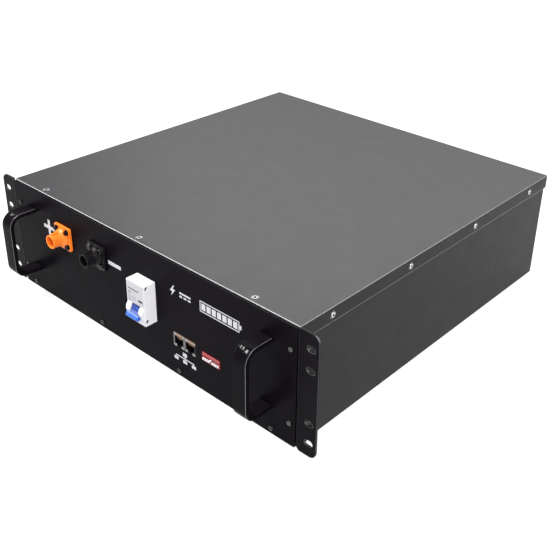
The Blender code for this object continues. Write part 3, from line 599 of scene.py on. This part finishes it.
def pan_mesh(radius, height, spread=1.25, glint_look=None):
    """A domed head standing on z = 0, with a cross recess whose walls may be painted lighter as a
    glint.
    """
    profile = [(0, 0), (radius, 0), (radius, height * 0.25)]
    profile += [(radius * math.cos(math.radians(a)) * 0.98 + radius * 0.02,
                 height * (0.25 + 0.75 * math.sin(math.radians(a)))) for a in range(15, 90, 15)]
    profile.append((0, height))
    recess = [moved(blade, Matrix.Translation((0, 0, height)))
              for blade in cross_recess(radius * 0.24 * spread, radius * spread, height * 0.6)]
    head = shaped(turned(profile, 40), cuts=recess)
    # The recess walls take a lighter finish as a painted glint.
    if glint_look:
        head.materials.append(FINISHES["black_steel"])
        head.materials.append(FINISHES[glint_look])
        for face in head.polygons:
            inside = face.center.z < height * 0.9 and face.center.xy.length < radius * 0.64
            if inside and face.center.z > height * 0.2:
                face.material_index = 1
    return head


def place_screw(name, mesh, look, point, side, turn, stands_for=()):
    """A screw whose head faces a side, with its recess at its own angle."""
    place = Matrix.Translation(point) @ TURNS[side] @ Matrix.Rotation(turn, 4, "Z")
    add_piece(name, mesh, look, place, stands_for=stands_for)


SCREW_STEP = 0.83               # each screw's recess stands this much further round, in radians
PAN_RADIUS, PAN_HEIGHT = 0.0027, 0.0018
EAR_SCREW_INSET = 0.0210        # from an ear's outer edge to the face that its screws hold
EAR_SCREW_HEIGHTS = (0.0240, 0.0660, 0.1080)


def add_screws():
    """Cover, panel, ear and rear screws."""
    # The top cover screws take the darker zinc as painted shade.
    flush, flush_top = countersunk_mesh("zinc", 0.0010), countersunk_mesh("shaded_zinc", 0.0002)
    pan = pan_mesh(PAN_RADIUS, PAN_HEIGHT)
    # The right panel screws' recesses are painted lighter as a glint.
    glint_pan = pan_mesh(PAN_RADIUS, PAN_HEIGHT, 0.85, "shaded_zinc")
    low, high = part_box("top_cover")
    turn = 0.35
    for side, x in (("left", low.x), ("right", high.x)):
        for index in range(1, 5):
            node = f"cover_screw_{side}_{index}"
            turn += SCREW_STEP
            at = middle(node)
            place_screw(f"{node}_head", flush, "zinc", (x, at.y, at.z), side, turn, [node])
    for index in range(1, 4):
        node = f"cover_screw_front_{index}"
        turn += SCREW_STEP
        at = middle(node)
        place_screw(f"{node}_head", flush_top, "shaded_zinc", (at.x, at.y, high.z), "up", turn,
                    [node])
    panel_nodes = [f"panel_screw_{side}_{level}"
                   for side in ("left", "right") for level in ("lower", "upper")]
    panel_nodes += [f"panel_screw_bottom_{index}" for index in range(1, 5)]
    for node in panel_nodes:
        turn += SCREW_STEP
        at = middle(node)
        head = glint_pan if "right" in node else pan
        place_screw(f"{node}_head", head, "black_steel", (at.x, FACE_Y, at.z), "front", turn, [node])
    for side in ("left", "right"):
        ear_low, ear_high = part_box(f"rack_ear_{side}")
        x = ear_low.x + EAR_SCREW_INSET if side == "left" else ear_high.x - EAR_SCREW_INSET
        for index, z in enumerate(EAR_SCREW_HEIGHTS, start=1):
            turn += SCREW_STEP
            point = (x, FACE_Y + 0.0125, z)
            place_screw(f"ear_screw_{side}_{index}", pan, "black_steel", point, side, turn)
    for index in range(4):
        turn += SCREW_STEP
        x = (index - 1.5) * 0.1280
        point = (x, high.y, high.z - 0.0080)
        place_screw(f"rear_screw_{index + 1}", pan, "zinc", point, "back", turn)


# Power sockets


def add_socket(sign, look, screw_look):
    """Square flange, four screws, a ribbed barrel with a notched rim and a contact inside."""
    node = f"{sign}_socket"
    low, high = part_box(node)
    centre = middle(node)
    place = Matrix.Translation((centre.x, FACE_Y, centre.z)) @ TURNS["front"]
    side = high.x - low.x
    reach = FACE_Y - low.y
    plate = slabs([rounded_rectangle((0, 0), side, side, 0.0018, 5)], 0.0003, 0.0033)
    plate = shaped(plate, cuts=[disc(0.0101, -0.001, 0.010)], bevel=0.00035, segments=3)
    add_piece(f"{sign}_flange", plate, look, place, stands_for=[node])
    bore, wall, boss = 0.0062, 0.0078, 0.0108
    profile = [(bore, reach - 0.0004), (bore + 0.0004, reach), (wall - 0.0004, reach),
               (wall, reach - 0.0004), (wall, reach - 0.0032)]
    for rib in range(3):
        top = reach - 0.0032 - rib * 0.0020
        profile += [(wall - 0.00035, top - 0.0003), (wall - 0.00035, top - 0.0008),
                    (wall, top - 0.0011)]
    profile += [(wall, 0.0086), (wall + 0.0003, 0.0080), (boss - 0.0003, 0.0050), (boss, 0.0044),
                (boss, 0.0034), (0.0100, 0.0034), (0.0100, -0.0200), (0.0043, -0.0200),
                (0.0043, 0.0060), (bore, 0.0060), (bore, reach - 0.0004)]
    notches = []
    for step in range(10):
        notch = block((bore + 0.0004, -0.00035, reach - 0.0009),
                      (wall + 0.001, 0.00035, reach + 0.001))
        notches.append(moved(notch, Matrix.Rotation(2 * math.pi * step / 10, 4, "Z")))
    key = block((-0.0015, 0.0070, 0.0070), (0.0015, 0.0088, reach - 0.0026))
    add_piece(f"{sign}_barrel", shaped(turned(profile, 72), joins=[key], cuts=notches, bevel=0.00015),
              look, place)
    corners = [(x * 0.0090, y * 0.0090) for x in (-1, 1) for y in (-1, 1)]
    for index, (x, y) in enumerate(corners, start=1):
        at = place @ Matrix.Translation((x, y, 0.0032)) @ Matrix.Rotation(index * 1.1, 4, "Z")
        add_piece(f"{sign}_flange_screw_{index}", cap_mesh(), screw_look, at)
    pin = [(0, -0.0340), (0.0060, -0.0340), (0.0060, -0.0260), (0.0039, -0.0260), (0.0039, 0.0055),
           (0.0034, 0.0085), (0.0026, 0.0090), (0, 0.0092)]
    add_piece(f"{sign}_pin", turned(pin, 40), "silver", place, stands_for=[f"{sign}_contact"])


# Circuit breaker


BREAKER_REACH = 0.0143          # from the panel's face to the front of the nose
BREAKER_NOSE = (0.0509, 0.0970)                     # lowest and highest z
RIVETS = ((0.0116, 0.0944), (0.0119, 0.0562))       # (reach, z)
RIVET_SLANT = math.radians(-32)
# part, shift back, width, height, depth of its middle, finish
# The black pill in each slot is painted shade; the gold one is the rivet.
RIVET_PARTS = (("rivet", 0.0, 0.0021, 0.0037, 0.0006, "gold"),
               ("rivet_slot", -0.0001, 0.0019, 0.0036, 0.0002, "black_plastic"))


def add_breaker():
    """White case with round cheeks, slanted rivet slots and a printed label."""
    low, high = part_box("breaker_case")
    hinge = Vector(frame["joints"][0]["pos_m"])
    half = (high.x - low.x) / 2
    x = (low.x + high.x) / 2
    front = FACE_Y - BREAKER_REACH
    nose_low, nose_high = BREAKER_NOSE
    nose = block((low.x, front, nose_low), (high.x, FACE_Y + 0.0125, nose_high))
    body = block((low.x, FACE_Y + 0.0120, low.z), (high.x, high.y, high.z))
    sideways = Matrix.Translation(hinge) @ TURNS["right"]
    cheek = half - 0.0008
    cheeks = moved(disc(0.0086, -cheek, cheek, 72), sideways)
    slot, room = 0.0066, 0.0074
    cuts = [moved(disc(room, -slot, slot, 72), sideways),
            block((x - slot, hinge.y - 0.03, hinge.z - room), (x + slot, hinge.y, hinge.z + room))]
    for reach, z in RIVETS:
        for outer in (low.x, high.x):
            pocket = slabs([rounded_rectangle((0, 0), 0.0022, 0.0038, 0.0010, 5)], -0.0006, 0.0006)
            spot = Matrix.Translation((outer, FACE_Y - reach, z))
            cuts.append(moved(pocket, spot @ Matrix.Rotation(RIVET_SLANT, 4, "X") @ SIDE_LAY))
    case = shaped(nose, joins=[body, cheeks], cuts=cuts, bevel=0.0006, segments=3)
    add_piece("breaker_shell", case, "white", stands_for=["breaker_case"])
    for side, outer, inward in (("left", low.x, 1), ("right", high.x, -1)):
        for index, (reach, z) in enumerate(RIVETS, start=1):
            for part, shift, width, height, depth, look in RIVET_PARTS:
                spot = Matrix.Translation((outer + inward * depth, FACE_Y - reach + shift, z))
                pill = rounded_rectangle((0, 0), width, height, width * 0.45, 5)
                add_piece(f"breaker_{part}_{side}_{index}", slabs([pill], -0.0002, 0.0002), look,
                          spot @ Matrix.Rotation(RIVET_SLANT, 4, "X") @ SIDE_LAY)
    face = Matrix.Translation((x, front, 0)) @ TURNS["front"]
    label = slabs([rounded_rectangle((0.0, 0.0840), 0.0256, 0.0240, 0.0006, 4)], 0.00002, 0.00012)
    add_piece("breaker_label", label, "label", face)


def add_label_marks():
    """Faint generic rows and a dark indicator on the breaker's label."""
    low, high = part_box("breaker_case")
    x = (low.x + high.x) / 2
    face = Matrix.Translation((x, FACE_Y - BREAKER_REACH, 0)) @ TURNS["front"]
    # left, bottom, width and height of each row
    rows = [(-0.0115, 0.0872, 0.0165, 0.0011), (-0.0115, 0.0833, 0.0044, 0.0008),
            (-0.0110, 0.0807, 0.0024, 0.0006), (-0.0112, 0.0779, 0.0034, 0.0006),
            (-0.0112, 0.0755, 0.0036, 0.0006), (-0.0060, 0.0779, 0.0022, 0.0006),
            (-0.0060, 0.0755, 0.0030, 0.0006), (-0.0015, 0.0790, 0.0016, 0.0006),
            (-0.0015, 0.0767, 0.0022, 0.0006), (-0.0112, 0.0734, 0.0026, 0.0005)]
    outlines = [rectangle(left, bottom, left + width, bottom + height)
                for left, bottom, width, height in rows]
    add_piece("breaker_label_rows", slabs(outlines, 0.00014, 0.00018), "label_ink", face)
    window = slabs([rounded_rectangle((0.0072, 0.0778), 0.0062, 0.0019, 0.0003, 3)], 0.00014, 0.00030)
    add_piece("breaker_indicator", window, "black_plastic", face)


def add_toggle():
    """Ribbed hub and the stem with its cross bar, riding on the toggle's body."""
    hinge = Vector(frame["joints"][0]["pos_m"])
    hub_half, radius = 0.0063, 0.0070
    rim = []
    for step in range(120):
        angle = 2 * math.pi * step / 120
        ripple = radius - (0.00022 if step % 4 in (2, 3) else 0.0)
        rim.append((ripple * math.cos(angle), ripple * math.sin(angle)))
    hub = moved(slabs([rim], -hub_half, hub_half), TURNS["right"])
    # Outlines lie in (Y, Z) and point forward; the turn brings them down to the rest angle.
    down = Matrix.Rotation(math.radians(25), 4, "X") @ SIDE_LAY
    stem = [(-0.0040, -0.0034), (-0.0040, 0.0038), (-0.0100, 0.0030), (-0.0100, -0.0026)]
    bar = [(-0.0092, -0.0027), (-0.0092, 0.0032), (-0.0110, 0.0030), (-0.0136, 0.0009),
           (-0.0136, -0.0004), (-0.0128, -0.0016)]
    stem_mesh = moved(slabs([stem], -hub_half + 0.0001, hub_half - 0.0001), down)
    bar_mesh = moved(slabs([bar], -0.0090, 0.0090), down)
    at_hinge = Matrix.Translation(hinge)
    # The hub takes the darker blue as painted shade.
    add_piece("toggle_hub", shaped(hub, joins=[stem_mesh]), "shaded_blue", at_hinge,
              body="breaker_toggle", stands_for=["breaker_toggle"], crease=20)
    add_piece("toggle_lever", shaped(bar_mesh, bevel=0.00035, segments=3), "blue", at_hinge,
              body="breaker_toggle")


# Communication ports


def add_jack(index):
    """Dark housing, beige band with two lenses, plated shell and eight contacts."""
    node = f"network_jack_{index}"
    low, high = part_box(node)
    x = (low.x + high.x) / 2
    half = (high.x - low.x) / 2
    place = Matrix.Translation((x, low.y, low.z)) @ TURNS["front"]
    height, depth = high.z - low.z, high.y - low.y
    sill, roof = 0.0032, 0.0112
    cavity = block((-0.00595, sill, -0.0130), (0.00595, roof, 0.001))
    latch = block((-0.00305, 0.0008, -0.0100), (0.00305, sill + 0.0010, 0.001))
    body = block((-half, 0, -depth), (half, height, 0))
    body = shaped(body, cuts=[cavity, latch], bevel=0.0002)
    add_piece(f"jack_{index}_housing", body, "black_plastic", place, stands_for=[node])
    band = block((-half + 0.0011, roof + 0.0013, 0.00005), (half - 0.0003, height - 0.0002, 0.00035))
    lenses = [(-half + 0.0013, -half + 0.0036), (half - 0.0026, half - 0.0006)]
    windows = [block((left, roof + 0.0017, -0.001), (right, height - 0.0006, 0.001))
               for left, right in lenses]
    add_piece(f"jack_{index}_band", shaped(band, cuts=windows, bevel=0.00008), "beige", place)
    for side, (left, right) in zip(("left", "right"), lenses):
        glass = block((left + 0.0001, roof + 0.0018, 0.00005),
                      (right - 0.0001, height - 0.0007, 0.00025))
        add_piece(f"jack_{index}_lens_{side}", shaped(glass, bevel=0.00008), "clear_lens", place)
    strips = [((-half, 0.0002, 0.00005), (-half + 0.0009, height - 0.0002, 0.00030)),
              ((-half + 0.0011, 0.0002, 0.00005), (-0.0034, 0.0028, 0.00030)),
              ((0.0034, 0.0002, 0.00005), (half - 0.0003, 0.0028, 0.00030))]
    if index == 1:
        strips.append(((half - 0.0012, 0.0030, 0.00005),
                       (half - 0.0003, roof + 0.0002, 0.00030)))
    add_piece(f"jack_{index}_shell", blocks(strips), "dull_steel", place)
    wires = []
    for wire in range(8):
        across = (wire - 3.5) * 0.00102
        wires.append(((across - 0.0002, roof - 0.0022, -0.0120),
                      (across + 0.0002, roof - 0.0018, -0.0012)))
    add_piece(f"jack_{index}_contacts", blocks(wires), "gold", place)


def add_switch_marks():
    """A tick above each slider's slot."""
    low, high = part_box("dip_switch_body")
    place = Matrix.Translation((0, low.y, 0)) @ TURNS["front"]
    outlines = []
    for index in range(1, 10):
        x = middle(f"dip_slider_{index}").x
        outlines.append(rectangle(x - 0.0002, high.z - 0.0016, x + 0.0002, high.z - 0.0008))
    add_piece("switch_ticks", slabs(outlines, 0.00002, 0.00006), "ink", place)


# Printed marks on the panel


def add_print(name, outlines):
    """Outlines in the panel's own (x, z), as a film of ink on its face."""
    place = Matrix.Translation((0, FACE_Y, 0)) @ TURNS["front"]
    add_piece(name, slabs(outlines, LIFT * 0.2, LIFT), "ink", place)


def placed(outlines, x, z):
    """Outlines shifted across the panel."""
    return [[(a + x, b + z) for a, b in outline] for outline in outlines]


def add_polarity_marks():
    positive, negative = middle("positive_socket"), middle("negative_socket")
    wide, tall, arm = 0.0100, 0.0095, 0.0021
    plus = [(-wide, -arm), (-arm, -arm), (-arm, -tall), (arm, -tall), (arm, -arm), (wide, -arm),
            (wide, arm), (arm, arm), (arm, tall), (-arm, tall), (-arm, arm), (-wide, arm)]
    add_print("plus_mark", placed([plus], positive.x - 0.0295, positive.z + 0.0005))
    minus = rectangle(-0.01065, -0.0022, 0.01065, 0.0022)
    add_print("minus_mark", placed([minus], negative.x + 0.02715, negative.z - 0.0015))


def add_pictograms():
    """Generic signs in place of lettering: a bolt, direct current, a charge gauge and a network."""
    left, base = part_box("breaker_case")[1].x + 0.0230, 0.0930
    bolt = [(0.0052, 0.0125), (0.0000, 0.0052), (0.0034, 0.0052), (0.0018, 0.0000), (0.0080, 0.0078),
            (0.0044, 0.0078), (0.0066, 0.0125)]
    add_print("bolt_sign", placed([bolt], left, base))
    lines = [rectangle(0.0140, 0.0068, 0.0300, 0.0088)]
    lines += [rectangle(0.0140 + step, 0.0030, 0.0180 + step, 0.0050)
              for step in (0, 0.0060, 0.0120)]
    add_print("direct_current_sign", placed(lines, left, base))
    start, end, stroke, tall = 0.0430, 0.0960, 0.0011, 0.0122
    gauge = [rectangle(start, 0, end, stroke), rectangle(start, tall - stroke, end, tall),
                  rectangle(start, stroke, start + stroke, tall - stroke),
                  rectangle(end - stroke, stroke, end, tall - stroke),
                  rectangle(end + 0.0002, 0.0038, end + 0.0026, tall - 0.0038)]
    pitch = (end - start - 2 * stroke - 0.0010) / 7
    for step in range(7):
        x = start + stroke + 0.0012 + step * pitch
        gauge.append(rectangle(x, stroke + 0.0014, x + pitch - 0.0016, tall - stroke - 0.0014))
    add_print("charge_gauge_sign", placed(gauge, left, base))
    ports = (middle("network_jack_1").x + middle("network_jack_2").x) / 2
    signs = [rectangle(-0.0030, 0.0082, 0.0030, 0.0125), rectangle(-0.0006, 0.0062, 0.0006, 0.0080),
             rectangle(-0.0136, 0.0050, 0.0136, 0.0062)]
    for x in (-0.0130, 0, 0.0130):
        signs.append(rectangle(x - 0.0006, 0.0040, x + 0.0006, 0.0050))
        signs.append(rectangle(x - 0.0030, 0, x + 0.0030, 0.0038))
    add_print("network_sign", placed(signs, ports, 0.0190))


# Studio


def add_floor():
    """Wide pale paper just under the module."""
    work = bmesh.new()
    bmesh.ops.create_grid(work, x_segments=8, y_segments=8, size=9)
    floor = bpy.data.objects.new("floor", closed(work, "floor"))
    bpy.context.scene.collection.objects.link(floor)
    floor.location.z = -0.0002
    paper = finish("floor_paper", (0.24, 0.24, 0.243), 0.8, specular=0.05, mottle=0.004,
                   mottle_scale=3, grain=0.0001, grain_scale=300)
    shader = paper.node_tree.nodes["Principled BSDF"]
    shader.inputs["Emission Color"].default_value = (1, 1, 1, 1)
    shader.inputs["Emission Strength"].default_value = 0.75
    floor.data.materials.append(paper)


def add_light(name, towards, distance, size, radiance, along=(0, 0, 1), start=(0, 0, 0)):
    """A rectangular lamp in a direction from a point, with its own Y nearest to a given line."""
    lamp = bpy.data.lights.new(name, "AREA")
    lamp.shape = "RECTANGLE"
    lamp.size, lamp.size_y = size
    lamp.energy = 4 * size[0] * size[1] * radiance
    out = Vector(towards).normalized()
    across = Vector(along).cross(out).normalized()
    up = out.cross(across)
    made = bpy.data.objects.new(name, lamp)
    made.matrix_world = (Matrix.Translation(Vector(start) + out * distance)
                         @ Matrix((across, up, out)).transposed().to_4x4())
    bpy.context.scene.collection.objects.link(made)


STROKE_DISTANCE = 3.0
STROKE_LENGTH = 0.345           # of each of a stroke's lamps, which lie end to end


def add_studio():
    """An even pale surround, a wide lamp over the lid and a lamp from the right."""
    world = bpy.data.worlds.new("studio")
    world.use_nodes = True
    world.node_tree.nodes["Background"].inputs["Color"].default_value = (0.98, 0.98, 1.0, 1)
    world.node_tree.nodes["Background"].inputs["Strength"].default_value = 0.62
    bpy.context.scene.world = world
    add_light("lid_box", (-0.37, 0.60, 0.71), 3.0, (2.7, 1.6), 5.8)
    add_light("key_box", (0.62, -0.25, 0.74), 3.0, (1.3, 1.3), 12)


def add_bend_lights():
    """Short lamps that the handles' upper bends mirror to the camera as bright strokes."""
    eye = bpy.context.scene.camera.matrix_world.translation

    def mirrored(side, across, degrees):
        low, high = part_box(f"handle_{side}")
        centre = Vector(((low.x + high.x) / 2, low.y + HANDLE_BEND, high.z - HANDLE_BEND))
        turn = math.radians(degrees)
        radial = Vector((0, -math.cos(turn), math.sin(turn)))
        tilt = 2 * HANDLE_CROWN * across / HANDLE_FLAT ** 2
        point = centre + radial * HANDLE_BEND + Vector((across, 0, 0))
        normal = (radial + Vector((tilt, 0, 0))).normalized()
        return point, (point - eye).normalized().reflect(normal)

    for stroke, (side, across, degrees, width, radiance) in enumerate(BEND_STROKES, start=1):
        for part, step in enumerate((-4, 0, 4), start=1):
            point, out = mirrored(side, across, degrees + step)
            ahead = mirrored(side, across, degrees + step + 1)[1]
            add_light(f"stroke_{stroke}_{part}", out, STROKE_DISTANCE, (width, STROKE_LENGTH),
                      radiance, ahead - out, point)


def add_camera():
    """The view from the front right and above, a little closer to the right ear."""
    camera = bpy.data.cameras.new("camera")
    camera.lens = 56.01
    camera.shift_x, camera.shift_y = -0.0455, -0.1000
    camera.clip_start, camera.clip_end = 0.05, 60
    made = bpy.data.objects.new("camera", camera)
    bearing, drop, roll = math.radians(41.012), math.radians(26.854), math.radians(1.494)
    turn = Matrix.Rotation(bearing, 4, "Z") @ Matrix.Rotation(math.pi / 2 - drop, 4, "X")
    made.matrix_world = (Matrix.Translation((0.61125, -0.66028, 0.53799)) @ turn
                         @ Matrix.Rotation(roll, 4, "Z"))
    bpy.context.scene.collection.objects.link(made)
    bpy.context.scene.camera = made
    bpy.context.scene.view_settings.view_transform = "Standard"


dress_nodes()
add_panel()
for side_name in ("left", "right"):
    add_handle(side_name)
add_screws()
add_socket("positive", "orange", "black_plastic")
add_socket("negative", "black_plastic", "dark_steel")
add_breaker()
add_label_marks()
add_toggle()
for number in (1, 2):
    add_jack(number)
add_switch_marks()
add_polarity_marks()
add_pictograms()
add_floor()
add_studio()
add_camera()
add_bend_lights()
